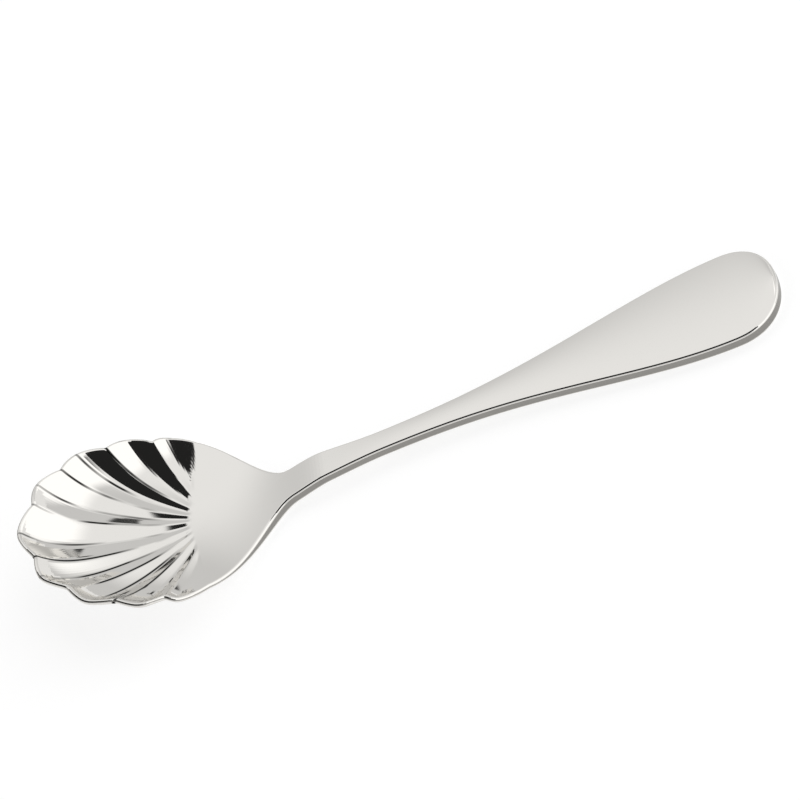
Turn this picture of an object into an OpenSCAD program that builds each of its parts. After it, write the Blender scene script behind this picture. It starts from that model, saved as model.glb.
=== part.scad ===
// Sugar spoon with a shell bowl: a fluted, dished bowl and a flared flat handle, at rest on a table.
// Lengths are millimetres. Plan distances are measured level with the bowl's rim, along the spoon.

/* [Bowl] */
// Width of the bowl at its widest place, before the flutes are pressed into it
bowl_width = 39; // [32:0.5:50]
// Distance from the bowl's widest place forward to its tip
bowl_front = 19; // [17:0.25:27]
// Distance from the bowl's widest place back to the neck
bowl_back = 28.25; // [25:0.25:34]
// Depth of the bowl below its rim
bowl_depth = 4.5; // [3:0.25:8]
// Distance from the widest place back to the heel, where the hollow is round across instead of flat
heel_at = 12; // [8:0.5:16]
// Thickness of the bowl's wall
bowl_wall = 1; // [0.8:0.1:1.6]
// Distance from the widest place back to where the wall starts to thicken towards the neck
thicken_start = 14; // [8:0.5:20]

/* [Flutes] */
// Number of full flutes on each side of the flute at the tip
side_flutes = 3; // [1:1:4]
// Angle that the flute at the tip spans, seen from the hinge
tip_flute_angle = 23; // [12:1:26]
// Angle that each side flute spans, seen from the hinge
side_flute_angle = 17.25; // [9:0.25:20]
// Angle that the outermost flute spans, seen from the hinge
outer_flute_angle = 21; // [10:1:24]
// Slope of a flute's two walls
flute_wall_angle = 15; // [6:1:22]
// Slope of the outermost flute's long outer wall
outer_wall_angle = 8; // [4:0.5:12]
// Distance from the widest place back to the hinge, where the ridges would meet
hinge_back = 14; // [12:0.5:18]
// Distance from the widest place back to the line across the heel where the flutes begin, in its middle
flute_line = 10; // [8:0.5:13]
// Angle by which that line sweeps back towards both sides
line_sweep = 9.5; // [0:0.5:15]
// Length over which a flute goes from that line to its full depth
flute_run_in = 1.5; // [1:0.5:8]
// How far the rim bulges outward in the middle of a flute
scallop = 0.65; // [0:0.05:1.2]

/* [Handle] */
// Width of the neck where it leaves the bowl
root_width = 7; // [6:0.1:9]
// Width of the neck at its narrowest place
neck_width = 4.7; // [4:0.1:6]
// Distance from the back of the bowl to the narrowest place of the neck
neck_length = 16.75; // [10:0.25:24]
// Distance from the narrowest place of the neck to the widest place of the handle
flare_length = 60.75; // [45:0.25:80]
// Width of the handle at its widest place
handle_width = 21.4; // [14:0.1:26]
// Length of the round end beyond the handle's widest place
end_length = 8.5; // [4:0.25:12]
// Height of the handle's crown along its middle
handle_crown = 0.4; // [0:0.1:0.8]
// Thickness of the neck
neck_thickness = 2; // [1.6:0.1:3]
// Thickness of the handle at its end
handle_thickness = 2.6; // [1.6:0.1:3.5]
// Slope of the handle above the bowl's rim
handle_rise = 23; // [14:0.5:28]
// Distance from the widest place back to where the edge starts to lift
lift_start = 13; // [9:0.5:15]
// Length over which the edge lifts from the rim to the handle's slope
lift_length = 21.5; // [18:0.5:30]

/* [Edge] */
// How far the top and bottom edges are rounded in from the outline
edge_round = 0.25; // [0.1:0.05:0.5]

/* [Hidden] */

// Facet counts: steps across each kind of flute, along the shoulder, across the neck and along the handle
TIP_STEPS = 5;
SIDE_STEPS = 8;
OUTER_STEPS = 10;
SHOULDER_STEPS = 12;
ACROSS_STEPS = 8;
RINGS = 14;
HANDLE_STEPS = 28;
END_STEPS = 9;
// Halvings that a search by bisection takes, and the step of a slope measured by difference
HALVINGS = 40;
SLOPE_STEP = 0.01;
// Shape powers: how flat the dish is across its middle and across its heel, how early it runs out towards the neck,
// how square the shoulders and the flare are, and how blunt the handle's end is
DISH_POWER = 4;
HEEL_POWER = 2;
BACK_POWER = 3;
SHOULDER_POWER = 2;
FLARE_POWER = 1.28;
END_POWER = 2.2;
// Share of the handle's half width that is left as a flat at its very end
END_FLAT = 0.12;
// Shares of a flute's half width over which its valley and its ridges are rounded
VALLEY_ROUND = 0.25;
RIDGE_ROUND = 0.2;
// Share of the outermost flute at which its valley lies, and share of the thickness at which an edge stands out most
OUTER_VALLEY = 0.3;
EDGE_SHARE = 0.6;

half_width = bowl_width / 2;
half_root = root_width / 2;
half_neck = neck_width / 2;
half_handle = handle_width / 2;
neck_at = bowl_back + neck_length;
handle_widest = neck_at + flare_length;
handle_end = handle_widest + end_length;
// The last ridge between two flutes, and the outer end of the flutes, where the plain shoulder begins
last_ridge = tip_flute_angle / 2 + side_flutes * side_flute_angle;
outer_end = last_ridge + outer_flute_angle;

function ease(t) = let (c = min(max(t, 0), 1)) c * c * (3 - 2 * c);
function mix(a, b, t) = a + (b - a) * t;
function unit(v) = v / norm(v);

// Half width of the plain outline at distance x behind the bowl's widest place
function front_half(x) = x < -bowl_front ? -1 : half_width * sqrt(1 - pow(x / bowl_front, 2));
function shoulder_half(x) = mix(half_width, half_root, ease(pow(x / bowl_back, SHOULDER_POWER)));
function neck_half(x) = mix(half_root, half_neck, ease((x - bowl_back) / neck_length));
function flare_half(x) = mix(half_neck, half_handle, ease(pow((x - neck_at) / flare_length, FLARE_POWER)));
function half_at(x) =
    x < 0 ? front_half(x)
    : x < bowl_back ? shoulder_half(x)
    : x < neck_at ? neck_half(x)
    : flare_half(x);

// Height of the edge above the rim, depth of the dish below that edge, and thickness of the metal
function edge_height(x) =
    let (past = max(x - lift_start, 0))
    past * tan(handle_rise) * ease(past / lift_length);
function dish(x) = x > bowl_back ? 0 : bowl_depth * pow(1 - pow(x / bowl_back, 2), BACK_POWER);
function dish_power(x) = mix(DISH_POWER, HEEL_POWER, ease(x / heel_at));
function metal(x) = x < bowl_back
    ? mix(bowl_wall, neck_thickness, ease((x - thicken_start) / (bowl_back - thicken_start)))
    : mix(neck_thickness, handle_thickness, ease((x - bowl_back) / (handle_end - bowl_back)));

// Upper face of the plain bowl, before the flutes, as a height over the plan
function plain_height(x, y) = x < 0
    ? -bowl_depth * (1 - pow(norm([x / bowl_front, y / half_width]), DISH_POWER))
    : edge_height(x) - dish(x) * (1 - pow(abs(y) / half_at(x), dish_power(x)));
function plain_point(p) = [p.x, p.y, plain_height(p.x, p.y)];
function plain_normal(p) =
    let (sx = plain_height(p.x + SLOPE_STEP, p.y) - plain_height(p.x - SLOPE_STEP, p.y),
         sy = plain_height(p.x, p.y + SLOPE_STEP) - plain_height(p.x, p.y - SLOPE_STEP))
    unit([-sx, -sy, 2 * SLOPE_STEP]);

// Rise of a flute's wall per length from the hinge, in degrees of turn
function flute_rise(a) =
    a < tip_flute_angle / 2 ? tip_flute_angle / 2 * tan(flute_wall_angle)
    : a < last_ridge ? side_flute_angle / 2 * tan(flute_wall_angle)
    : (1 - OUTER_VALLEY) * outer_flute_angle * tan(outer_wall_angle);
// Place of an angle within its flute: -1 at the inner ridge, 0 in the valley and 1 at the outer ridge
function flute_place(a) =
    let (past = a - tip_flute_angle / 2,
         share = min((a - last_ridge) / outer_flute_angle, 1) - OUTER_VALLEY)
    past < 0 ? 2 * a / tip_flute_angle
    : a < last_ridge ? 2 * (past / side_flute_angle - floor(past / side_flute_angle)) - 1
    : min(share / OUTER_VALLEY, share / (1 - OUTER_VALLEY));
// Straight walls between a rounded valley and rounded ridges, as a share of half the flute's width
function soften(t, r) = t < r ? (t * t + r * r) / (2 * r) : t;
function flute_profile(a) =
    soften(1 - soften(abs(flute_place(a)), VALLEY_ROUND), RIDGE_ROUND) - RIDGE_ROUND / 2;
function flute_depth(p) =
    let (r = norm([hinge_back - p.x, p.y]), a = abs(atan2(p.y, hinge_back - p.x)))
    r * flute_rise(a) * PI / 180 * flute_profile(a)
        * ease((flute_line + abs(p.y) * tan(line_sweep) - p.x) / flute_run_in);

// A point of the bowl's sheet: plan place p, and the share of the metal's thickness that lies above it
function sheet_point(p, share) = plain_point(p) - plain_normal(p) * (flute_depth(p) + share * metal(p.x));

// Rim of the bowl: the plain outline met by a ray from the hinge at angle a, and the scallops beyond it
function on_ray(a, r) = [hinge_back - r * cos(a), r * sin(a)];
function rim_radius(a, low = 0, high = hinge_back + bowl_front + 1, left = HALVINGS) =
    let (middle = (low + high) / 2, p = on_ray(a, middle))
    left == 0 ? middle
    : p.y < half_at(p.x) ? rim_radius(a, middle, high, left - 1)
    : rim_radius(a, low, middle, left - 1);
corner_angle = atan2(half_root, hinge_back - bowl_back);
half_angles = [
    for (i = [1:TIP_STEPS]) i / TIP_STEPS * tip_flute_angle / 2,
    for (f = [0:side_flutes - 1], i = [1:SIDE_STEPS])
        tip_flute_angle / 2 + (f + i / SIDE_STEPS) * side_flute_angle,
    for (i = [1:OUTER_STEPS]) last_ridge + i / OUTER_STEPS * outer_flute_angle,
    for (i = [1:SHOULDER_STEPS - 1]) mix(outer_end, corner_angle, i / SHOULDER_STEPS)
];
half_count = len(half_angles);
rim_angles = [for (i = [1:half_count]) half_angles[half_count - i], 0, for (a = half_angles) -a];
function lobe(a) = scallop * (1 - pow(flute_place(abs(a)), 2));
function rim_place(a) = on_ray(a, rim_radius(abs(a)) + lobe(a));
hinge = [hinge_back, 0];
// Plan places where the sheet's faces end, and where its edge ends, in order round the bowl
across = [for (i = [0:ACROSS_STEPS]) mix(-1, 1, i / ACROSS_STEPS)];
neck_side = half_root - edge_round;
outline = [
    [bowl_back, half_root],
    for (a = rim_angles) rim_place(a),
    [bowl_back, -half_root]
];
function draw_in(p) = p - edge_round * unit(p - hinge);
face_end = [
    [bowl_back, neck_side],
    for (a = rim_angles) draw_in(rim_place(a)),
    [bowl_back, -neck_side],
    for (i = [1:ACROSS_STEPS - 1]) [bowl_back, across[i] * neck_side]
];
rays = len(face_end);
rim_rays = len(outline);
function grid_point(ray, ring, share) = sheet_point(mix(hinge, face_end[ray], ring / RINGS), share);
function sheet_grid(share) = [
    sheet_point(hinge, share),
    for (ring = [1:RINGS], ray = [0:rays - 1]) grid_point(ray, ring, share)
];
bowl_points = concat(sheet_grid(0), sheet_grid(1), [for (p = outline) sheet_point(p, EDGE_SHARE)]);
sheet_size = 1 + RINGS * rays;
function grid_index(ray, ring, sheet) =
    sheet * sheet_size + (ring == 0 ? 0 : 1 + (ring - 1) * rays + ray % rays);
function edge_index(ray) = 2 * sheet_size + ray;
function sheet_faces(sheet) = [
    for (ray = [0:rays - 1], ring = [0:RINGS - 1])
        let (a = grid_index(ray, ring, sheet),
             b = grid_index(ray, ring + 1, sheet),
             c = grid_index(ray + 1, ring + 1, sheet),
             d = grid_index(ray + 1, ring, sheet))
        each ring == 0 ? [[a, c, b]] : strip(a, b, c, d)
];
function strip(a, b, c, d) = [[a, c, b], [a, d, c]];
function turned(faces) = [for (f = faces) [f[2], f[1], f[0]]];
rim_faces = [
    for (ray = [0:rim_rays - 2]) each concat(
        strip(grid_index(ray, RINGS, 0), edge_index(ray), edge_index(ray + 1), grid_index(ray + 1, RINGS, 0)),
        strip(edge_index(ray), grid_index(ray, RINGS, 1), grid_index(ray + 1, RINGS, 1), edge_index(ray + 1)))
];
neck_faces = [
    for (ray = [rim_rays - 1:rays - 1]) each
        strip(grid_index(ray, RINGS, 0), grid_index(ray, RINGS, 1),
              grid_index(ray + 1, RINGS, 1), grid_index(ray + 1, RINGS, 0)),
    [grid_index(rim_rays - 1, RINGS, 1), edge_index(rim_rays - 1), grid_index(rim_rays - 1, RINGS, 0)],
    [grid_index(0, RINGS, 0), edge_index(0), grid_index(0, RINGS, 1)]
];
bowl_faces = concat(sheet_faces(0), turned(sheet_faces(1)), rim_faces, neck_faces);

// Cross-section of the handle at distance x, square to its slope: upper face, far edge, under face, near edge
function edge_slope(x) = atan2(edge_height(x + SLOPE_STEP) - edge_height(x - SLOPE_STEP), 2 * SLOPE_STEP);
function crown_at(x) = handle_crown * ease((x - bowl_back) / (handle_widest - bowl_back));
function handle_section(x, half) =
    let (up = [-sin(edge_slope(x)), 0, cos(edge_slope(x))],
         middle = [x, 0, edge_height(x)],
         side = half - edge_round,
         fall = crown_at(x))
    concat(
        [for (s = across) middle + [0, s * side, 0] - up * fall * s * s],
        [middle + [0, half, 0] - up * mix(fall, metal(x), EDGE_SHARE)],
        [for (s = across) middle - [0, s * side, 0] - up * metal(x)],
        [middle - [0, half, 0] - up * mix(fall, metal(x), EDGE_SHARE)]);
function end_turn(i) = i / END_STEPS * acos(pow(END_FLAT, END_POWER / 2));
handle_sections = concat(
    [for (i = [0:HANDLE_STEPS])
        let (x = mix(bowl_back, handle_widest, i / HANDLE_STEPS)) handle_section(x, half_at(x))],
    [for (i = [1:END_STEPS])
        let (along = sin(end_turn(i)) / sin(end_turn(END_STEPS)))
        handle_section(handle_widest + end_length * pow(along, 2 / END_POWER),
                       half_handle * pow(cos(end_turn(i)), 2 / END_POWER))]);
section_size = len(handle_sections[0]);
section_count = len(handle_sections);
handle_points = [for (section = handle_sections) each section];
// A section's under face runs back across it, so the point below place i is counted from the far edge
far_edge = ACROSS_STEPS + 1;
function below(i) = 2 * far_edge - i;
cap_faces = [
    for (i = [0:ACROSS_STEPS - 1]) each strip(i, i + 1, below(i + 1), below(i)),
    [0, section_size - 1, below(0)],
    [below(ACROSS_STEPS), far_edge, ACROSS_STEPS]
];
last_section = (section_count - 1) * section_size;
handle_faces = concat(
    cap_faces,
    [for (s = [0:section_count - 2], i = [0:section_size - 1])
        let (n = (i + 1) % section_size, low = s * section_size, high = low + section_size)
        each strip(low + i, high + i, high + n, low + n)],
    turned([for (f = cap_faces) [for (i = f) i + last_section]]));

// Rest on a table: tipped until the bowl and the handle's end are equally low, origin below the box's middle
function lowest(points, tip) = min([for (p = points) p.z * cos(tip) - p.x * sin(tip)]);
function rest_tip(low = 0, high = 60, left = HALVINGS) =
    let (middle = (low + high) / 2)
    left == 0 ? middle
    : lowest(bowl_points, middle) < lowest(handle_points, middle) ? rest_tip(middle, high, left - 1)
    : rest_tip(low, middle, left - 1);
tip = rest_tip();
function tipped(p) = [p.x * cos(tip) + p.z * sin(tip), p.y, p.z * cos(tip) - p.x * sin(tip)];
tipped_bowl = [for (p = bowl_points) tipped(p)];
tipped_handle = [for (p = handle_points) tipped(p)];
rest_x = (min([for (p = tipped_bowl) p.x]) + max([for (p = tipped_handle) p.x])) / 2;
rest_shift = [rest_x, 0, min([for (p = tipped_bowl) p.z])];
function set_down(points) = [for (p = points) p - rest_shift];

module bowl() {
    color("silver")
        polyhedron(points = set_down(tipped_bowl), faces = bowl_faces, convexity = 6);
}

module handle() {
    color("gainsboro")
        polyhedron(points = set_down(tipped_handle), faces = handle_faces, convexity = 4);
}

bowl();
handle();
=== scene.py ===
"""Sugar spoon: a fluted shell bowl and a flared flat handle, pressed in polished stainless steel.

The spoon is shaped in millimetres in the bowl's own frame: x runs from the bowl's widest place back to the handle,
y across, and z up from the plane of the rim. It is then tipped and set down on the table, in metres.
"""

import logging
import math
from dataclasses import dataclass
from enum import Enum
from typing import Any

import bpy
import numpy as np
from mathutils import Matrix, Vector


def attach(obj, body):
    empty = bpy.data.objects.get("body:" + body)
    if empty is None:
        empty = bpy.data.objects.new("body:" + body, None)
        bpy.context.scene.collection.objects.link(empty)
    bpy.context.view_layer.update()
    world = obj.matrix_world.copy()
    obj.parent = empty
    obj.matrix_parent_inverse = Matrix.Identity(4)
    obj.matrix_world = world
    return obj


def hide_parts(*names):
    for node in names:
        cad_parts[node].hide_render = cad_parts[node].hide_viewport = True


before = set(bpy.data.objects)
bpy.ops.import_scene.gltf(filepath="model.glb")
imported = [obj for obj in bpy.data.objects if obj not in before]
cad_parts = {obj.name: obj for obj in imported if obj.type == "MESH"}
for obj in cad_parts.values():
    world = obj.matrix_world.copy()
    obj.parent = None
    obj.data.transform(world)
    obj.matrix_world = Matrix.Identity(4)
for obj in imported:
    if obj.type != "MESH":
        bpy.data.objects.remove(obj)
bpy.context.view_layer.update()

LOG = logging.getLogger("sugar_spoon")
MM = 0.001
BODY = "root"
WHITE = "#FFFFFF"
Array = np.ndarray


class Portion(Enum):
    """The two formed portions of the spoon, named as the frame's nodes are."""

    BOWL = "bowl"
    HANDLE = "handle"


def linear(colour: str) -> tuple[float, float, float, float]:
    """Turns an sRGB hex colour into linear RGBA.

    Args:
        colour: Six hex digits after a hash sign.

    Returns:
        Red, green, blue and an alpha of 1.
    """
    shares = [int(colour[i : i + 2], 16) / 255 for i in (1, 3, 5)]
    red, green, blue = (s / 12.92 if s <= 0.04045 else ((s + 0.055) / 1.055) ** 2.4 for s in shares)
    return red, green, blue, 1.0


def add_node(
    tree: bpy.types.NodeTree, kind: str, *inputs: Any, sockets: dict | None = None, **settings: Any
) -> bpy.types.Node:
    """Adds a node to a tree, with its settings, its values and its links.

    Args:
        tree: The tree that gets the node.
        kind: Blender's name for the node's type.
        inputs: A value, node or socket for each input in turn; None leaves one as it is.
        sockets: More of these, by the input's name or number.
        settings: Properties of the node itself.

    Returns:
        The new node.
    """
    node = tree.nodes.new(kind)
    for name, value in settings.items():
        setattr(node, name, value)
    for key, value in [*enumerate(inputs), *(sockets or {}).items()]:
        source = value.outputs[0] if isinstance(value, bpy.types.Node) else value
        if isinstance(source, bpy.types.NodeSocket):
            tree.links.new(source, node.inputs[key])
        elif source is not None:
            node.inputs[key].default_value = source
    return node


def ease(t: Array) -> Array:
    """Goes smoothly from 0 to 1 as t does, and stays there."""
    c = np.clip(t, 0, 1)
    return c * c * (3 - 2 * c)


def mix(a: float, b: float, t: Array) -> Array:
    """Returns a value between a and b, at share t of the way."""
    return a + (b - a) * t


def crowded(start: float, width: float, steps: int) -> Array:
    """Divides a width into steps that are close together at both ends."""
    return start + width * (1 - np.cos(np.linspace(0, math.pi, steps + 1))) / 2


@dataclass(frozen=True)
class Pressing:
    """Sizes of the plain pressing in millimetres, before the flutes, and the rules that shape it."""

    bowl_width: float = 39.0
    bowl_front: float = 19.0
    bowl_back: float = 28.25
    bowl_depth: float = 4.5
    dish_power: float = 4.0
    heel_power: float = 2.0
    heel_at: float = 12.0
    back_power: float = 3.0
    bowl_wall: float = 1.0
    thicken_start: float = 14.0
    root_width: float = 7.0
    neck_width: float = 4.7
    neck_length: float = 16.75
    flare_length: float = 60.75
    handle_width: float = 21.4
    end_length: float = 8.5
    handle_crown: float = 0.4
    neck_thickness: float = 2.0
    handle_thickness: float = 2.6
    handle_rise: float = 23.0
    lift_start: float = 13.0
    lift_length: float = 21.5
    edge_radius: float = 0.42
    edge_share: float = 0.48
    shoulder_power: float = 2.0
    flare_power: float = 1.28
    end_power: float = 2.2
    slope_step: float = 0.01
    # How the spoon lies: how far its bowl's tip is raised, and where its widest place is over the table
    rest_tip: float = 23.8063
    rest_x: float = 51.0258
    rest_z: float = -9.396

    @property
    def neck_at(self) -> float:
        """Distance from the bowl's widest place to the narrowest place of the neck."""
        return self.bowl_back + self.neck_length

    @property
    def handle_widest(self) -> float:
        """Distance from the bowl's widest place to the handle's."""
        return self.neck_at + self.flare_length

    @property
    def handle_end(self) -> float:
        """Distance from the bowl's widest place to the handle's end."""
        return self.handle_widest + self.end_length

    def half_at(self, x: Array) -> Array:
        """Half width of the plain outline at x.

        Args:
            x: Distances from the bowl's widest place towards the handle.

        Returns:
            Half the width at each.
        """
        half_bowl, half_root, half_neck = self.bowl_width / 2, self.root_width / 2, self.neck_width / 2
        front = half_bowl * np.sqrt(np.clip(1 - (x / self.bowl_front) ** 2, 0, None))
        back = np.clip(x / self.bowl_back, 0, 1) ** self.shoulder_power
        flare = np.clip((x - self.neck_at) / self.flare_length, 0, 1) ** self.flare_power
        shoulder = mix(half_bowl, half_root, ease(back))
        neck = mix(half_root, half_neck, ease((x - self.bowl_back) / self.neck_length))
        handle = mix(half_neck, self.handle_width / 2, ease(flare))
        return np.select([x < 0, x < self.bowl_back, x < self.neck_at], [front, shoulder, neck], handle)

    def edge_height(self, x: Array) -> Array:
        """Height of the spoon's upper edge above the plane of the rim at x.

        Args:
            x: Distances from the bowl's widest place towards the handle.

        Returns:
            The height at each.
        """
        past = np.clip(x - self.lift_start, 0, None)
        return past * math.tan(math.radians(self.handle_rise)) * ease(past / self.lift_length)

    def metal(self, x: Array) -> Array:
        """Thickness of the metal at x.

        Args:
            x: Distances from the bowl's widest place towards the handle.

        Returns:
            The thickness at each.
        """
        thicken = ease((x - self.thicken_start) / (self.bowl_back - self.thicken_start))
        taper = ease((x - self.bowl_back) / (self.handle_end - self.bowl_back))
        bowl = mix(self.bowl_wall, self.neck_thickness, thicken)
        return np.where(x < self.bowl_back, bowl, mix(self.neck_thickness, self.handle_thickness, taper))

    def plain_height(self, x: Array, y: Array) -> Array:
        """Height of the plain bowl's upper face over a plan place.

        Args:
            x: Distances from the bowl's widest place towards the handle.
            y: Distances from the middle.

        Returns:
            The height at each, from the plane of the rim.
        """
        across = np.hypot(x / self.bowl_front, y / (self.bowl_width / 2))
        front = -self.bowl_depth * (1 - across**self.dish_power)
        hollow = self.bowl_depth * np.clip(1 - (x / self.bowl_back) ** 2, 0, None) ** self.back_power
        power = mix(self.dish_power, self.heel_power, ease(x / self.heel_at))
        back = self.edge_height(x) - hollow * (1 - np.abs(y / self.half_at(np.maximum(x, 0))) ** power)
        return np.where(x < 0, front, back)

    def plain_normal(self, x: Array, y: Array) -> Array:
        """Unit normal of the plain bowl's upper face over a plan place.

        Args:
            x: Distances from the bowl's widest place towards the handle.
            y: Distances from the middle.

        Returns:
            A vector for each, in the last axis.
        """
        h = self.slope_step
        along = self.plain_height(x - h, y) - self.plain_height(x + h, y)
        across = self.plain_height(x, y - h) - self.plain_height(x, y + h)
        normal = np.stack([along, across, np.full_like(along, 2 * h)], -1)
        return normal / np.linalg.norm(normal, axis=-1, keepdims=True)

    def edge_profile(self, thickness: Array, steps: int) -> tuple[Array, Array]:
        """Rounds the edge of a sheet: two round corners with a wall between them.

        Args:
            thickness: Thickness of the sheet at each place of the edge.
            steps: Steps that each corner takes.

        Returns:
            How far outside the end of the sheet's face, and how far below its upper face, each step of the
            edge lies. Rows are places, columns go from the upper face to the under face.
        """
        radius = np.minimum(self.edge_radius, self.edge_share * thickness)[:, None]
        turn = np.linspace(0, math.pi / 2, steps + 1)[None]
        out = np.concatenate([radius * np.sin(turn), radius * np.cos(turn)], 1)
        upper = radius * (1 - np.cos(turn))
        under = thickness[:, None] - radius * (1 - np.sin(turn))
        return out, np.concatenate([upper, under], 1)

    def turned(self, vectors: Array) -> Array:
        """Turns vectors from the bowl's frame to the frame of the table.

        Args:
            vectors: Vectors in the last axis.

        Returns:
            The turned vectors.
        """
        tip = math.radians(self.rest_tip)
        x, y, z = vectors[..., 0], vectors[..., 1], vectors[..., 2]
        return np.stack([x * math.cos(tip) + z * math.sin(tip), y, z * math.cos(tip) - x * math.sin(tip)], -1)

    def set_down(self, points: Array) -> Array:
        """Sets points of the spoon down on the table, in metres."""
        return (self.turned(points) - np.array([self.rest_x, 0, self.rest_z])) * MM


@dataclass(frozen=True)
class StainlessFinish:
    """Stainless steel, pressed and then buffed on wheels: a warm grey mirror, or rougher on the blank's cut edge,
    where its darker colour is painted shade.

    Buffing leaves a faint haze that changes over the surface and fine lines along the spoon, so that the mirror is
    a little softer in some places than in others.
    """

    name: str = "buffed_stainless_steel"
    colour: str = "#DFDDD9"
    mirror_roughness: float = 0.035
    haze_roughness: float = 0.075
    haze_mm: float = 7.0
    haze_detail: float = 3.0
    haze_grain: float = 0.6
    # Values of the noise at which the mirror is clear and the haze is full
    haze_from: float = 0.35
    haze_to: float = 0.7
    # Buffing lines are finer than 0.1 mm; they are drawn at 0.35 mm so that they show
    line_mm: float = 0.35
    line_length_mm: float = 18.0
    line_height_mm: float = 0.0003
    line_detail: float = 2.0

    def tone(self, tree: bpy.types.NodeTree, place: bpy.types.NodeSocket) -> Any:
        """Gives the steel's colour: one for the whole surface."""
        return linear(self.colour)

    def relief(self, tree: bpy.types.NodeTree, place: bpy.types.NodeSocket) -> bpy.types.Node:
        """Adds the buffing lines.

        Args:
            tree: The material's nodes.
            place: Object coordinates, in metres.

        Returns:
            The node that gives their height, in metres.
        """
        stretch = (1 / (self.line_length_mm * MM), 1 / (self.line_mm * MM), 1 / (self.line_mm * MM))
        drawn = add_node(tree, "ShaderNodeMapping", place, sockets={"Scale": stretch})
        lines = add_node(tree, "ShaderNodeTexNoise", drawn, sockets={"Scale": 1.0, "Detail": self.line_detail})
        return add_node(tree, "ShaderNodeMath", lines, self.line_height_mm * MM, operation="MULTIPLY")

    def make(self) -> bpy.types.Material:
        """Builds the material.

        Returns:
            The material, which reads Object coordinates in metres.
        """
        material = bpy.data.materials.new(self.name)
        material.use_nodes = True
        tree = material.node_tree
        tree.nodes.clear()
        place = add_node(tree, "ShaderNodeTexCoord").outputs["Object"]
        patches = {"Scale": 1 / (self.haze_mm * MM), "Detail": self.haze_detail, "Roughness": self.haze_grain}
        haze = add_node(tree, "ShaderNodeTexNoise", place, sockets=patches)
        limits = (self.haze_from, self.haze_to, self.mirror_roughness, self.haze_roughness)
        rough = add_node(tree, "ShaderNodeMapRange", haze, *limits)
        relief = self.relief(tree, place)
        bump = add_node(tree, "ShaderNodeBump", sockets={"Strength": 1.0, "Distance": 1.0, "Height": relief})
        steel = add_node(
            tree,
            "ShaderNodeBsdfPrincipled",
            sockets={"Base Color": self.tone(tree, place), "Metallic": 1.0, "Roughness": rough, "Normal": bump},
        )
        add_node(tree, "ShaderNodeOutputMaterial", steel)
        return material


BUFFED_STEEL = StainlessFinish()
# The walls along the bowl's rim and the handle: rougher steel, with a darker colour that is painted shade
PAINTED_SHADE_EDGE = StainlessFinish(
    name="rough_edge_painted_shade",
    colour="#94928E",
    mirror_roughness=0.25,
    haze_roughness=0.4,
    line_height_mm=0.002,
)


def new_piece(name: str, points: Array, faces: list[list[int]], flat: list[bool]) -> bpy.types.Object:
    """Makes a mesh object of points in the frame of the table, in metres.

    Args:
        name: Name of the object.
        points: Vertices, one row each.
        faces: Vertex numbers of each face, turning left as seen from outside.
        flat: Whether each face is shaded flat.

    Returns:
        The object, in the scene's collection.
    """
    mesh = bpy.data.meshes.new(name)
    mesh.from_pydata(points.tolist(), [], faces)
    mesh.attributes.new("sharp_face", "BOOLEAN", "FACE").data.foreach_set("value", flat)
    mesh.update()
    piece = bpy.data.objects.new(name, mesh)
    bpy.context.scene.collection.objects.link(piece)
    return piece


def loop_faces(low: Array, high: Array) -> list[list[int]]:
    """Joins two rows of vertices with four-sided faces, from each vertex of one to the next of both."""
    return [[int(low[i]), int(high[i]), int(high[i + 1]), int(low[i + 1])] for i in range(len(low) - 1)]


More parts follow.
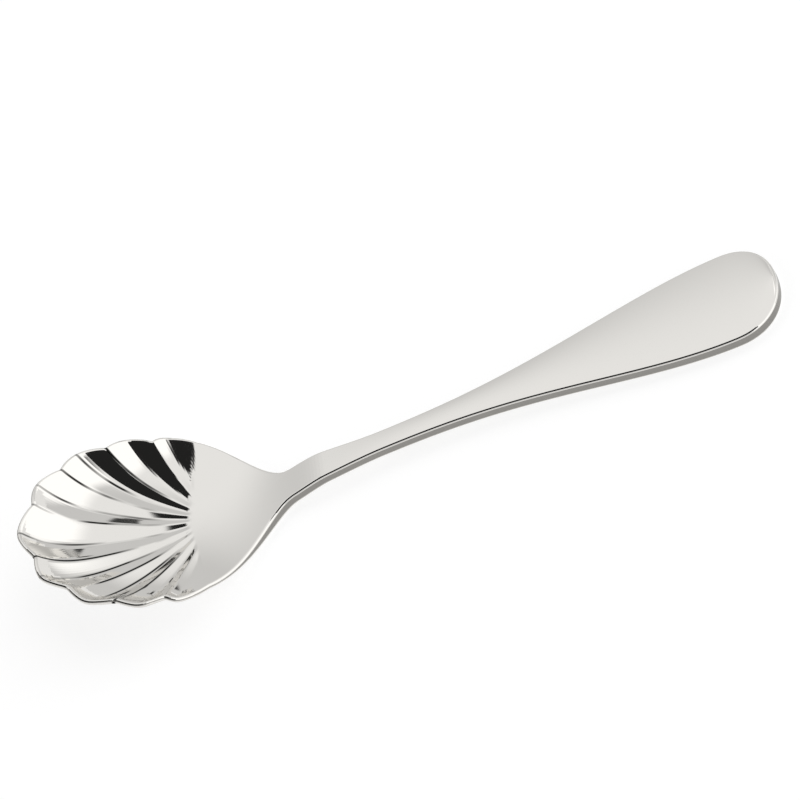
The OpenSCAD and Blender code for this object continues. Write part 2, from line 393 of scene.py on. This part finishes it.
@dataclass
class ShellBowl:
    """The dished bowl with its flutes, heel and shoulders, up to the neck.

    Lengths are in millimetres; spans, slopes and the sweep are in degrees. The flutes spread from a hinge in the
    heel. The outer valley is a share of its flute, and the two rounds are shares of half a flute.
    """

    form: Pressing
    hinge_back: float = 14.0
    side_flutes: int = 3
    tip_span: float = 23.0
    side_span: float = 17.25
    outer_span: float = 21.0
    outer_valley: float = 0.3
    wall_slope: float = 15.0
    outer_slope: float = 8.0
    valley_round: float = 0.25
    ridge_round: float = 0.2
    flute_line: float = 10.0
    line_sweep: float = 9.5
    run_in: float = 1.5
    scallop: float = 0.65
    tip_steps: int = 26
    side_steps: int = 22
    outer_steps: int = 24
    shoulder_steps: int = 44
    neck_steps: int = 16
    rings: int = 130
    ring_power: float = 0.9
    corner_steps: int = 5
    seam_share: float = 0.998
    # The rim is drawn in so that its round edge stays inside the box of the part
    rim_inset: float = 0.08
    halvings: int = 40
    rim_margin: float = 1.0

    @property
    def last_ridge(self) -> float:
        """Angle of the last ridge that has a flute on both sides, in degrees."""
        return self.tip_span / 2 + self.side_flutes * self.side_span

    def lobe(self, angle: Array) -> Array:
        """How far the rim bulges beyond the plain outline at angles about the hinge, in degrees.

        Args:
            angle: Angles from the tip.

        Returns:
            The bulge at each, in millimetres.
        """
        a = np.abs(angle)
        past = a - self.tip_span / 2
        side = 2 * np.mod(past / self.side_span, 1) - 1
        share = np.minimum((a - self.last_ridge) / self.outer_span, 1)
        outer = np.minimum(share / self.outer_valley - 1, (share - self.outer_valley) / (1 - self.outer_valley))
        place = np.select([past < 0, a < self.last_ridge], [2 * a / self.tip_span, side], outer)
        return self.scallop * (1 - place * place)

    def rim(self, angle: Array) -> Array:
        """Plan places of the rim at angles about the hinge, in degrees, scallops included.

        Args:
            angle: Angles from the tip.

        Returns:
            A place for each, one row each.
        """
        turn = np.radians(angle)
        farthest = self.hinge_back + self.form.bowl_front + self.rim_margin
        low, high = np.zeros_like(turn), np.full_like(turn, farthest)
        for _ in range(self.halvings):
            middle = (low + high) / 2
            x, y = self.hinge_back - middle * np.cos(turn), middle * np.abs(np.sin(turn))
            inside = (y < self.form.half_at(x)) & (x > -self.form.bowl_front)
            low, high = np.where(inside, middle, low), np.where(inside, high, middle)
        reach = low + self.lobe(angle)
        return np.stack([self.hinge_back - reach * np.cos(turn), reach * np.sin(turn)], -1)

    def rim_angles(self) -> Array:
        """Angles of the rim's rays from the far neck corner round the tip to the near one, close at the ridges.

        Returns:
            The angles, in degrees.
        """
        corner = math.degrees(math.atan2(self.form.root_width / 2, self.hinge_back - self.form.bowl_back))
        outer_end = self.last_ridge + self.outer_span
        half = [crowded(-self.tip_span / 2, self.tip_span, self.tip_steps)[self.tip_steps // 2 :]]
        for i in range(self.side_flutes):
            half.append(crowded(self.tip_span / 2 + i * self.side_span, self.side_span, self.side_steps)[1:])
        half.append(crowded(self.last_ridge, self.outer_span, self.outer_steps)[1:])
        half.append(np.linspace(outer_end, corner, self.shoulder_steps + 1)[1:])
        right = np.concatenate(half)
        return np.concatenate([right[::-1], -right[1:]])

    def plain_mesh(self) -> tuple[Array, Array, list[list[int]], list[bool], list[bool]]:
        """Lays out the bowl's closed sheet: upper face, round edge, under face and the cut across the neck.

        Returns:
            Plan places, depth below the upper face, faces, and whether each is flat and is on the cut edge.
        """
        form = self.form
        edge = self.rim(self.rim_angles())
        edge[0], edge[-1] = (form.bowl_back, form.root_width / 2), (form.bowl_back, -form.root_width / 2)
        along = np.gradient(edge, axis=0)
        along[0], along[-1] = (-1, 0), (1, 0)
        outward = np.stack([along[:, 1], -along[:, 0]], -1) / np.linalg.norm(along, axis=1, keepdims=True)
        metal = form.metal(edge[:, 0])
        out, down = form.edge_profile(metal, self.corner_steps)
        radius = out.max(1, keepdims=True)
        inset = self.rim_inset * ease((form.thicken_start - edge[:, 0]) / form.thicken_start)
        face_end = edge - (radius + inset[:, None]) * outward
        # Both faces are rings about the hinge; the outermost follows the rim and then the cut across the neck
        across = np.linspace(-1, 1, self.neck_steps + 1)[1:-1, None] * [[0, face_end[0, 1]]] + [[form.bowl_back, 0]]
        ring_end = np.concatenate([face_end, across])
        count, rim_count = len(ring_end), len(edge)
        shares = np.append(np.linspace(0, 1, self.rings + 1)[:-1] ** self.ring_power, [self.seam_share, 1])[1:]
        hinge = np.array([self.hinge_back, 0])
        grid = (hinge + shares[:, None, None] * (ring_end - hinge)).reshape(-1, 2)
        sheet = np.concatenate([hinge[None], grid])
        steps = out.shape[1]
        wall = face_end[:, None] + out[..., None] * outward[:, None]
        inner = slice(1, steps - 1)
        plan = np.concatenate([sheet, sheet, wall[:, inner].reshape(-1, 2)])
        depth = np.concatenate([np.zeros(len(sheet)), form.metal(sheet[:, 0]), down[:, inner].ravel()])
        faces: list[list[int]] = []
        ring = 1 + np.arange(len(shares) * count).reshape(len(shares), count)
        ring = np.concatenate([ring, ring[:, :1]], 1)
        size = len(sheet)
        for i in range(count):
            this, following = int(ring[0, i]), int(ring[0, i + 1])
            faces += [[0, this, following], [size, following + size, this + size]]
        for low, high in zip(ring[:-1], ring[1:]):
            upper = loop_faces(low, high)
            faces += upper + [[v + size for v in reversed(f)] for f in upper]
        # The round edge goes down from the upper face to the under face all along the rim
        walls = 2 * size + np.arange(rim_count * (steps - 2)).reshape(rim_count, steps - 2)
        top = ring[-1][:rim_count, None]
        ladder = np.concatenate([top, walls, top + size], 1)
        # The middle strip of the round edge takes the edge material, whose darker colour is painted shade
        cut = [False] * len(faces)
        for i in range(steps - 1):
            faces += loop_faces(ladder[:, i], ladder[:, i + 1])
            cut += [i == self.corner_steps] * (rim_count - 1)
        flat = [False] * len(faces)
        # The cut across the neck closes the sheet
        neck = ring[-1][rim_count - 1 :]
        faces += [[int(a), int(a) + size, int(b) + size, int(b)] for a, b in zip(neck[:-1], neck[1:])]
        faces += [[int(v) for v in ladder[0]], [int(v) for v in reversed(ladder[-1])]]
        flat += [True] * (len(faces) - len(flat))
        cut += [False] * (len(faces) - len(cut))
        return plan, depth, faces, flat, cut

    def flute_sizes(self) -> dict[str, float]:
        """Sizes of the flutes by the names of the tree's inputs, with angles in radians and slopes as rises.

        Returns:
            The value of each input.
        """
        rise, outer_rise = (math.tan(math.radians(slope)) for slope in (self.wall_slope, self.outer_slope))
        return {
            "Hinge Back": self.hinge_back,
            "Tip Span": math.radians(self.tip_span),
            "Side Span": math.radians(self.side_span),
            "Last Ridge": math.radians(self.last_ridge),
            "Outer Span": math.radians(self.outer_span),
            "Outer Valley": self.outer_valley,
            "Outer Width": 2 * (1 - self.outer_valley) * math.radians(self.outer_span) * outer_rise / rise,
            "Wall Rise": rise / 2,
            "Valley Round": self.valley_round,
            "Ridge Round": self.ridge_round,
            "Flute Line": self.flute_line,
            "Line Sweep": math.tan(math.radians(self.line_sweep)),
            "Run In": self.run_in,
        }

    def flute_tree(
        self, steel: bpy.types.Material, edge: bpy.types.Material
    ) -> tuple[bpy.types.NodeTree, dict[str, str]]:
        """Builds the nodes that press the flutes into the plain bowl.

        Each vertex brings its plan place and the direction in which the press moves it. The flutes fan out from the
        hinge; each is a hollow between two ridges, and all begin along one line across the heel.

        Args:
            steel: The material that the nodes set.
            edge: The material that they set on the cut edge.

        Returns:
            The tree, and the identifier of each named input.
        """
        tree = bpy.data.node_groups.new("press_flutes", "GeometryNodeTree")
        tree.interface.new_socket("Geometry", in_out="OUTPUT", socket_type="NodeSocketGeometry")
        tree.interface.new_socket("Geometry", in_out="INPUT", socket_type="NodeSocketGeometry")
        names = tuple(self.flute_sizes())
        sizes = {n: tree.interface.new_socket(n, in_out="INPUT", socket_type="NodeSocketFloat") for n in names}
        given = add_node(tree, "NodeGroupInput").outputs
        number, pick, is_less = "ShaderNodeMath", "GeometryNodeSwitch", "FunctionNodeCompare"
        plan = add_node(tree, "GeometryNodeInputNamedAttribute", "plan", data_type="FLOAT_VECTOR")
        press = add_node(tree, "GeometryNodeInputNamedAttribute", "press", data_type="FLOAT_VECTOR")
        # Where a vertex lies about the hinge: how far out, and at what angle from the tip
        parts = add_node(tree, "ShaderNodeSeparateXYZ", plan).outputs
        ahead = add_node(tree, number, given["Hinge Back"], parts["X"], operation="SUBTRACT")
        offset = add_node(tree, "ShaderNodeCombineXYZ", ahead, parts["Y"])
        reach = add_node(tree, "ShaderNodeVectorMath", offset, operation="LENGTH").outputs["Value"]
        turn = add_node(tree, number, parts["Y"], ahead, operation="ARCTAN2")
        angle = add_node(tree, number, turn, operation="ABSOLUTE")
        half_tip = add_node(tree, number, given["Tip Span"], 0.5, operation="MULTIPLY")
        past = add_node(tree, number, angle, half_tip, operation="SUBTRACT")
        in_tip = add_node(tree, is_less, angle, half_tip, data_type="FLOAT", operation="LESS_THAN")
        in_side = add_node(tree, is_less, angle, given["Last Ridge"], data_type="FLOAT", operation="LESS_THAN")
        # Its place across its flute: 0 in the valley, and -1 or 1 on a ridge
        tip_place = add_node(tree, number, angle, half_tip, operation="DIVIDE")
        side_turns = add_node(tree, number, past, given["Side Span"], operation="DIVIDE")
        side_share = add_node(tree, number, side_turns, operation="FRACT")
        beyond = add_node(tree, number, angle, given["Last Ridge"], operation="SUBTRACT")
        outer_turns = add_node(tree, number, beyond, given["Outer Span"], operation="DIVIDE")
        outer_share = add_node(tree, number, outer_turns, 1.0, operation="MINIMUM")
        # The outer flute has a narrow inner wall and a long outer one, so its valley isn't in the middle
        from_valley = add_node(tree, number, outer_share, given["Outer Valley"], operation="SUBTRACT")
        inner_place = add_node(tree, number, from_valley, given["Outer Valley"], operation="DIVIDE")
        long_share = add_node(tree, number, 1.0, given["Outer Valley"], operation="SUBTRACT")
        long_place = add_node(tree, number, from_valley, long_share, operation="DIVIDE")
        outer_place = add_node(tree, number, inner_place, long_place, operation="MINIMUM")
        middle_place = add_node(tree, number, side_share, 2.0, -1.0, operation="MULTIPLY_ADD")
        side_place = add_node(tree, pick, in_side, outer_place, middle_place, input_type="FLOAT")
        place = add_node(tree, pick, in_tip, side_place, tip_place, input_type="FLOAT")
        side_width = add_node(tree, pick, in_side, given["Outer Width"], given["Side Span"], input_type="FLOAT")
        width = add_node(tree, pick, in_tip, side_width, given["Tip Span"], input_type="FLOAT")
        level = add_node(tree, number, place, operation="ABSOLUTE")
        # Straight walls: first the valley is rounded, counted from its middle, then the ridges, counted from theirs
        for name in ("Valley Round", "Ridge Round"):
            within = add_node(tree, number, level, given[name], operation="MINIMUM")
            short = add_node(tree, number, within, given[name], operation="SUBTRACT")
            square = add_node(tree, number, short, short, operation="MULTIPLY")
            lift = add_node(tree, number, square, given[name], operation="DIVIDE")
            level = add_node(tree, number, lift, 0.5, level, operation="MULTIPLY_ADD")
            if name == "Valley Round":
                level = add_node(tree, number, 1.0, level, operation="SUBTRACT")
        share_deep = add_node(tree, number, given["Ridge Round"], -0.5, level, operation="MULTIPLY_ADD")
        # Deeper farther out, where the flute is wider, and plain behind the line where the flutes begin
        half_arc = add_node(tree, number, reach, width, operation="MULTIPLY")
        deepest = add_node(tree, number, half_arc, given["Wall Rise"], operation="MULTIPLY")
        run_end = add_node(tree, number, given["Flute Line"], given["Run In"], operation="SUBTRACT")
        aside = add_node(tree, number, parts["Y"], operation="ABSOLUTE")
        back = add_node(tree, number, aside, given["Line Sweep"], operation="MULTIPLY")
        at = add_node(tree, number, parts["X"], back, operation="SUBTRACT")
        limits = (given["Flute Line"], run_end, 0.0, 1.0)
        begun = add_node(tree, "ShaderNodeMapRange", at, *limits, interpolation_type="SMOOTHSTEP")
        full = add_node(tree, number, deepest, share_deep, operation="MULTIPLY")
        depth = add_node(tree, number, full, begun, operation="MULTIPLY")
        metres = add_node(tree, number, depth, -MM, operation="MULTIPLY")
        move = add_node(tree, "ShaderNodeVectorMath", press, operation="SCALE", sockets={"Scale": metres})
        pressed = add_node(tree, "GeometryNodeSetPosition", given["Geometry"], sockets={"Offset": move})
        real = add_node(tree, "GeometryNodeRealizeInstances", pressed)
        faces = add_node(tree, "GeometryNodeSetMaterial", real, sockets={"Material": steel})
        # The cut edge gets the edge material, whose darker colour is painted shade
        cut = add_node(tree, "GeometryNodeInputNamedAttribute", "cut", data_type="BOOLEAN")
        dressed = add_node(tree, "GeometryNodeSetMaterial", faces, cut, edge)
        add_node(tree, "NodeGroupOutput", dressed)
        return tree, {name: socket.identifier for name, socket in sizes.items()}

    def build(self, steel: bpy.types.Material, edge: bpy.types.Material) -> bpy.types.Object:
        """Makes the plain bowl, presses the flutes into it and dresses it.

        Args:
            steel: Material of the bowl.
            edge: Material of its cut edge.

        Returns:
            The finished piece.
        """
        form = self.form
        plan, depth, faces, flat, cut = self.plain_mesh()
        x, y = plan[:, 0], plan[:, 1]
        normal = form.plain_normal(x, y)
        points = np.stack([x, y, form.plain_height(x, y)], -1) - normal * depth[:, None]
        blank = new_piece("bowl_blank", form.set_down(points), faces, flat)
        for name, vectors in (("plan", np.column_stack([plan, np.zeros(len(plan))])), ("press", form.turned(normal))):
            blank.data.attributes.new(name, "FLOAT_VECTOR", "POINT").data.foreach_set("vector", vectors.ravel())
        blank.data.attributes.new("cut", "BOOLEAN", "FACE").data.foreach_set("value", cut)
        tree, sockets = self.flute_tree(steel, edge)
        press = blank.modifiers.new("press_flutes", "NODES")
        press.node_group = tree
        for name, value in self.flute_sizes().items():
            press[sockets[name]] = value
        depsgraph = bpy.context.evaluated_depsgraph_get()
        mesh = bpy.data.meshes.new_from_object(blank.evaluated_get(depsgraph))
        for name in ("plan", "press", "cut"):
            mesh.attributes.remove(mesh.attributes[name])
        mesh.name = "shell_bowl"
        bpy.data.objects.remove(blank)
        piece = bpy.data.objects.new("shell_bowl", mesh)
        bpy.context.scene.collection.objects.link(piece)
        return piece


@dataclass(frozen=True, kw_only=True)
class FlutedFinish(StainlessFinish):
    """Buffed steel with thin near-black lines along the creases of the flutes, painted there as dark reflections."""

    name: str = "fluted_stainless_steel"
    bowl: ShellBowl
    # Colour of the thin lines, which are painted dark reflections
    painted_line_colour: str = "#161615"
    crease_full_mm: float = 0.1
    crease_half_mm: float = 0.34
    crease_start_mm: float = 7.0
    crease_whole_mm: float = 13.0
    crease_patch_mm: float = 11.0
    crease_patch_detail: float = 1.0
    # Values of the noise at which a line is gone and at which it is whole
    crease_from: float = 0.43
    crease_to: float = 0.55
    # How many creases show on each side after the first ridge
    creases: int = 4

    def tone(self, tree: bpy.types.NodeTree, place: bpy.types.NodeSocket) -> bpy.types.NodeSocket:
        """Adds the steel's colour with painted dark reflections along the creases. The lines come and go along their
        length.

        Args:
            tree: The material's nodes.
            place: Object coordinates, in metres.

        Returns:
            The socket that gives the colour.
        """
        number, bowl, form = "ShaderNodeMath", self.bowl, self.bowl.form
        tip = math.radians(form.rest_tip)
        axis = (math.cos(tip), 0, -math.sin(tip))
        hinge = (bowl.hinge_back - form.rest_x * math.cos(tip) + form.rest_z * math.sin(tip)) * MM
        along = add_node(tree, "ShaderNodeVectorMath", place, axis, operation="DOT_PRODUCT").outputs["Value"]
        ahead = add_node(tree, number, hinge, along, operation="SUBTRACT")
        side = add_node(tree, "ShaderNodeSeparateXYZ", place).outputs["Y"]
        aside = add_node(tree, number, side, operation="ABSOLUTE")
        offset = add_node(tree, "ShaderNodeCombineXYZ", ahead, aside)
        reach = add_node(tree, "ShaderNodeVectorMath", offset, operation="LENGTH").outputs["Value"]
        turn = add_node(tree, number, aside, ahead, operation="ARCTAN2")
        # A crease lies on each ridge and in each valley: half a flute apart, and one in the middle of the tip
        first, step = math.radians(bowl.tip_span / 2), math.radians(bowl.side_span / 2)
        past = add_node(tree, number, turn, first, operation="SUBTRACT")
        steps = add_node(tree, number, past, step, operation="DIVIDE")
        held = add_node(tree, "ShaderNodeClamp", steps, 0.0, float(self.creases))
        nearest = add_node(tree, number, held, operation="ROUND")
        side_line = add_node(tree, number, nearest, step, first, operation="MULTIPLY_ADD")
        from_line = add_node(tree, number, turn, side_line, operation="SUBTRACT")
        off_line = add_node(tree, number, from_line, operation="ABSOLUTE")
        off = add_node(tree, number, off_line, turn, operation="MINIMUM")
        gap = add_node(tree, number, off, reach, operation="MULTIPLY")
        half = (self.crease_full_mm * MM, self.crease_half_mm * MM, 1.0, 0.0)
        line = add_node(tree, "ShaderNodeMapRange", gap, *half, interpolation_type="SMOOTHSTEP")
        begin = (self.crease_start_mm * MM, self.crease_whole_mm * MM, 0.0, 1.0)
        begun = add_node(tree, "ShaderNodeMapRange", reach, *begin, interpolation_type="SMOOTHSTEP")
        size = {"Scale": 1 / (self.crease_patch_mm * MM), "Detail": self.crease_patch_detail}
        patches = add_node(tree, "ShaderNodeTexNoise", place, sockets=size)
        kept = add_node(tree, "ShaderNodeMapRange", patches, self.crease_from, self.crease_to, 0.0, 1.0)
        shown = add_node(tree, number, begun, kept, operation="MULTIPLY")
        # Where the painted dark reflection lines show
        painted_line = add_node(tree, number, line, shown, operation="MULTIPLY")
        colours = {6: linear(self.colour), 7: linear(self.painted_line_colour)}
        return add_node(tree, "ShaderNodeMix", painted_line, sockets=colours, data_type="RGBA").outputs[2]


@dataclass
class FlatHandle:
    """The neck, the flared flat handle and its blunt round end. The seam is in millimetres, the weld in metres."""

    form: Pressing
    rows: int = 130
    end_rows: int = 40
    across_steps: int = 32
    corner_steps: int = 5
    seam_gap: float = 0.02
    weld_reach: float = 1e-7

    def outline(self) -> Array:
        """Plan places of the far edge, from the neck to the middle of the end.

        Returns:
            The places, one row each.
        """
        form = self.form
        start = [form.bowl_back, form.bowl_back + self.seam_gap]
        x = np.append(start, np.linspace(form.bowl_back, form.handle_widest, self.rows)[1:])
        side = np.stack([x, form.half_at(x)], -1)
        turn = np.linspace(0, math.pi / 2, self.end_rows + 1)[1:]
        power = 2 / form.end_power
        end_x = form.handle_widest + form.end_length * np.sin(turn) ** power
        end_y = form.handle_width / 2 * np.clip(np.cos(turn), 0, None) ** power
        return np.concatenate([side, np.stack([end_x, end_y], -1)])

    def point(self, x: Array, y: Array, depth: Array) -> Array:
        """Places points a depth below the handle's upper line, square to its slope.

        Args:
            x: Distances from the bowl's widest place towards the handle.
            y: Distances from the middle.
            depth: How far each point is below the line.

        Returns:
            The points, in the last axis.
        """
        form = self.form
        h = form.slope_step
        rise = (form.edge_height(x + h) - form.edge_height(x - h)) / (2 * h)
        up = np.stack([-rise, np.zeros_like(rise), np.ones_like(rise)], -1) / np.sqrt(1 + rise * rise)[..., None]
        return np.stack([x, y, form.edge_height(x)], -1) - up * depth[..., None]

    def build(self, steel: bpy.types.Material, edge: bpy.types.Material) -> bpy.types.Object:
        """Makes the handle of cross sections that follow its outline, and dresses it.

        Args:
            steel: Material of the handle.
            edge: Material of its cut edge.

        Returns:
            The finished piece.
        """
        form = self.form
        rim = self.outline()
        along = np.gradient(rim, axis=0)
        along[0], along[-1] = (1, 0), (0, -1)
        outward = np.stack([-along[:, 1], along[:, 0]], -1) / np.linalg.norm(along, axis=1, keepdims=True)
        crown = form.handle_crown * ease((rim[:, 0] - form.bowl_back) / (form.handle_widest - form.bowl_back))
        metal = form.metal(rim[:, 0])
        out, down = form.edge_profile(metal - crown, self.corner_steps)
        face_end = rim - out.max(1, keepdims=True) * outward
        face_end[-1, 1] = 0
        s = np.linspace(-1, 1, self.across_steps + 1)
        top_x, top_y = np.repeat(face_end[:, :1], len(s), 1), face_end[:, 1:] * s
        top = self.point(top_x, top_y, crown[:, None] * s * s)
        under = self.point(top_x, -top_y, np.repeat(metal[:, None], len(s), 1))
        wall = face_end[:, None] + out[..., None] * outward[:, None]
        inner = slice(1, out.shape[1] - 1)
        below = crown[:, None] + down
        far = self.point(wall[..., 0], wall[..., 1], below)[:, inner]
        near = self.point(wall[..., 0], -wall[..., 1], below)[:, inner][:, ::-1]
        sections = np.concatenate([top, far, under, near], 1)
        size = sections.shape[1]
        points = form.set_down(sections.reshape(-1, 3))
        numbers = np.arange(len(points)).reshape(-1, size)
        closed = np.concatenate([numbers, numbers[:, :1]], 1)
        faces: list[list[int]] = []
        for low, high in zip(closed[:-1], closed[1:]):
            faces += loop_faces(low, high)
        flat = [False] * len(faces)
        faces.append([int(v) for v in numbers[0]])
        flat.append(True)
        piece = new_piece("flat_handle", points, faces, flat)
        # The middle strip of each side wall takes the edge material, whose darker colour is painted shade
        far_wall = len(s) + self.corner_steps - 1
        walls = (far_wall, far_wall + size // 2)
        for face in piece.data.polygons:
            face.material_index = int(face.index % size in walls and face.index < len(faces) - 1)
        for material in (steel, edge):
            piece.data.materials.append(material)
        self.weld(piece)
        return piece

    def weld(self, piece: bpy.types.Object) -> None:
        """Joins the points that meet in the middle of the handle's end.

        Args:
            piece: The handle, which gets the joined mesh.
        """
        mesh = piece.data
        weld = piece.modifiers.new("weld", "WELD")
        weld.merge_threshold = self.weld_reach
        merged = bpy.data.meshes.new_from_object(piece.evaluated_get(bpy.context.evaluated_depsgraph_get()))
        piece.modifiers.clear()
        piece.data = merged
        bpy.data.meshes.remove(mesh)
        merged.name = "flat_handle"


@dataclass(frozen=True)
class Direction:
    """A direction in the room: azimuth from the far side, +Y, towards the handle, +X, and elevation, in degrees."""

    azimuth: float
    elevation: float

    def vector(self) -> Vector:
        """Unit vector of the direction."""
        a, e = math.radians(self.azimuth), math.radians(self.elevation)
        return Vector((math.sin(a) * math.cos(e), math.cos(a) * math.cos(e), math.sin(e)))


@dataclass(frozen=True)
class Edge:
    """A soft edge in the room: angles from a direction, in degrees, at which it is still outside and fully inside."""

    side: Vector
    outside: float
    inside: float


@dataclass(frozen=True)
class Patch:
    """A part of the tent with a strength of its own, bounded by edges."""

    strength: float
    edges: tuple[Edge, ...]


@dataclass(frozen=True)
class Strip:
    """A narrow straight band in the tent, from one direction to another. Its width and softness are in degrees."""

    strength: float
    start: Direction
    end: Direction
    half_width: float
    softness: float = 0.7
    end_softness: float = 2.0

    def patch(self) -> Patch:
        """The band as a patch with two edges along it and one about its middle.

        Returns:
            The patch.
        """
        start, end = self.start.vector(), self.end.vector()
        across = start.cross(end).normalized()
        inside, outside = self.half_width - self.softness, self.half_width + self.softness
        half_length = math.degrees(start.angle(end)) / 2
        ends = Edge((start + end).normalized(), half_length + self.end_softness, half_length - self.end_softness)
        sides = (Edge(across, 90 - outside, 90 - inside), Edge(across, 90 + outside, 90 + inside))
        return Patch(self.strength, (*sides, ends))


@dataclass
class Studio:
    """A white light tent over a pale floor.

    It is brightest overhead and on its right, with a dark card over the camera and a dark seam on the far side.
    """

    floor_size: float = 6.0
    floor_colour: str = "#A8A8A8"
    floor_glow: float = 0.75
    low_strength: float = 0.74
    overhead: Patch = Patch(strength=1.05, edges=(Edge(Direction(0, 90).vector(), outside=66, inside=38),))
    bright_side: Patch = Patch(strength=1.4, edges=(Edge(Direction(102, 11).vector(), outside=61, inside=46),))
    dark_card: Patch = Patch(
        strength=0.02,
        edges=(
            Edge(Direction(56.7, -9.5).vector(), outside=88.5, inside=91.5),
            Edge(Direction(33, -14).vector(), outside=88.5, inside=91.5),
            Edge(Direction(175.2, 78).vector(), outside=49, inside=46),
        ),
    )
    seam: Strip = Strip(strength=0.05, start=Direction(9, 20), end=Direction(9, 9), half_width=1.6)

    def floor(self) -> bpy.types.Object:
        """Lays the floor: white to the camera and in the steel, with the spoon's soft shadow on it.

        Returns:
            The floor.
        """
        half = self.floor_size / 2
        points = np.array([(-half, -half, 0), (half, -half, 0), (half, half, 0), (-half, half, 0)])
        floor = new_piece("floor", points, [[0, 1, 2, 3]], [True])
        material = bpy.data.materials.new("white_table")
        material.use_nodes = True
        tree = material.node_tree
        tree.nodes.clear()
        path = add_node(tree, "ShaderNodeLightPath").outputs
        seen = add_node(tree, "ShaderNodeMath", path["Is Camera Ray"], path["Is Glossy Ray"], operation="MAXIMUM")
        shown = add_node(tree, "ShaderNodeMath", seen, path["Is Transmission Ray"], operation="MAXIMUM")
        paper = add_node(tree, "ShaderNodeBsdfDiffuse", linear(self.floor_colour))
        strength = add_node(tree, "ShaderNodeMath", shown, self.floor_glow, operation="MULTIPLY")
        glow = add_node(tree, "ShaderNodeEmission", linear(WHITE), strength)
        add_node(tree, "ShaderNodeOutputMaterial", add_node(tree, "ShaderNodeAddShader", paper, glow))
        floor.data.materials.append(material)
        return floor

    def tent(self) -> bpy.types.World:
        """Hangs the tent: plain white to the camera, and with its patches to the spoon.

        Returns:
            The world that shows it.
        """
        world = bpy.data.worlds.new("light_tent")
        world.use_nodes = True
        tree = world.node_tree
        tree.nodes.clear()
        way = add_node(tree, "ShaderNodeTexCoord").outputs["Generated"]
        level: Any = self.low_strength
        for patch in (self.overhead, self.bright_side, self.dark_card, self.seam.patch()):
            share: Any = 1.0
            for edge in patch.edges:
                near = add_node(tree, "ShaderNodeVectorMath", way, edge.side, operation="DOT_PRODUCT").outputs[1]
                limits = (*(math.cos(math.radians(angle)) for angle in (edge.outside, edge.inside)), 0.0, 1.0)
                inside = add_node(tree, "ShaderNodeMapRange", near, *limits, interpolation_type="SMOOTHSTEP")
                share = add_node(tree, "ShaderNodeMath", share, inside, operation="MULTIPLY")
            level = add_node(tree, "ShaderNodeMix", share, sockets={2: level, 3: patch.strength}, data_type="FLOAT")
        camera = add_node(tree, "ShaderNodeLightPath").outputs["Is Camera Ray"]
        shown = add_node(tree, "ShaderNodeMix", camera, sockets={2: level, 3: 1.0}, data_type="FLOAT")
        white = add_node(tree, "ShaderNodeBackground", linear(WHITE), shown)
        add_node(tree, "ShaderNodeOutputWorld", white)
        bpy.context.scene.world = world
        return world


@dataclass(frozen=True)
class ProductCamera:
    """The camera at the photograph's viewing angle, in metres and degrees."""

    aim: tuple[float, float, float] = (-0.00014, 0.00782, 0.00334)
    azimuth: float = -18.622
    elevation: float = 40.455
    roll: float = 35.625
    distance: float = 0.7
    lens_mm: float = 177.74
    sensor_mm: float = 36.0

    def place(self) -> bpy.types.Object:
        """Makes the camera and gives it to the scene.

        Returns:
            The camera.
        """
        a, e = math.radians(self.azimuth), math.radians(self.elevation)
        ahead = Vector((math.sin(a) * math.cos(e), math.cos(a) * math.cos(e), -math.sin(e)))
        level = Vector((math.cos(a), -math.sin(a), 0))
        upright = level.cross(ahead)
        r = math.radians(self.roll)
        right = level * math.cos(r) - upright * math.sin(r)
        up = level * math.sin(r) + upright * math.cos(r)
        data = bpy.data.cameras.new("product_camera")
        data.sensor_width = self.sensor_mm
        data.lens = self.lens_mm
        camera = bpy.data.objects.new("product_camera", data)
        stand = Vector(self.aim) - ahead * self.distance
        camera.matrix_world = Matrix([*zip(right, up, -ahead, stand), (0, 0, 0, 1)])
        bpy.context.scene.collection.objects.link(camera)
        bpy.context.scene.camera = camera
        return camera


def main() -> None:
    """Builds the spoon, dresses it, and sets up its studio."""
    logging.basicConfig(level=logging.INFO, format="%(message)s")
    bpy.context.scene.view_settings.view_transform = "Standard"
    form = Pressing()
    bowl, handle = ShellBowl(form), FlatHandle(form)
    edge = PAINTED_SHADE_EDGE.make()
    for portion, maker, finish in (
        (Portion.BOWL, bowl, FlutedFinish(bowl=bowl)),
        (Portion.HANDLE, handle, BUFFED_STEEL),
    ):
        piece = maker.build(finish.make(), edge)
        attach(piece, BODY)
        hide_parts(portion.value)
        LOG.info("%s: %d faces", piece.name, len(piece.data.polygons))
    studio = Studio()
    studio.floor()
    studio.tent()
    ProductCamera().place()


if __name__ == "__main__":
    main()
